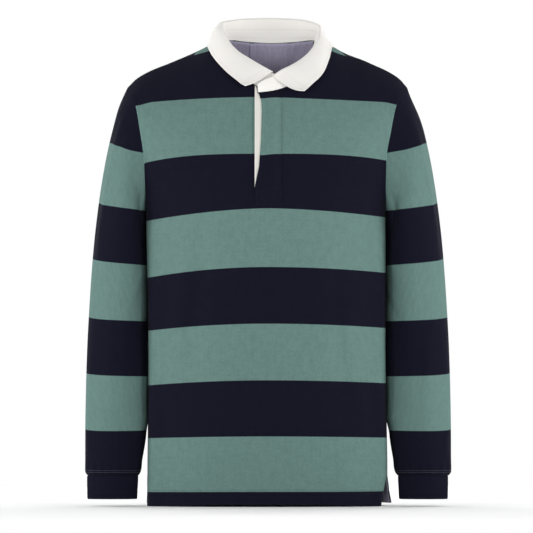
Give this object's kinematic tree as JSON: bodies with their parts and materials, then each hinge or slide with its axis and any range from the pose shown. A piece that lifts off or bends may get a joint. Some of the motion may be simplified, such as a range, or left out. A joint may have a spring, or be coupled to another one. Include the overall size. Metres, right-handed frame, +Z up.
{
  "type": "long-sleeve polo shirt",
  "caption": "Long-sleeve striped jersey polo shirt with a plain turn-down collar, covered placket, rib cuffs and side vents, hollow as worn.",
  "frame": {"origin": "midway between the two high shoulder points, where the wearer's shoulders hold the shirt up at the neck", "axes": "+Z up, the front of the shirt faces -Y, +X is the wearer's left"},
  "size_m": [0.594, 0.26, 0.7878],
  "materials": {
    "striped_jersey": "matte cotton jersey in broad navy and grey-green stripes",
    "navy_rib": "matte navy rib knit",
    "white_twill": "matte off-white cotton twill",
    "blue_chambray": "matte violet-blue chambray"
  },
  "bodies": {
    "root": {"front": "striped_jersey", "back": "striped_jersey", "sleeve_left": "striped_jersey", "sleeve_right": "striped_jersey", "placket_flap": "striped_jersey", "cuff_left": "navy_rib", "cuff_right": "navy_rib", "collar_stand": "white_twill", "collar_leaf": "white_twill", "placket_facing": "white_twill", "neck_lining": "blue_chambray", "vent_tape": "blue_chambray"}
  },
  "joints": []
}
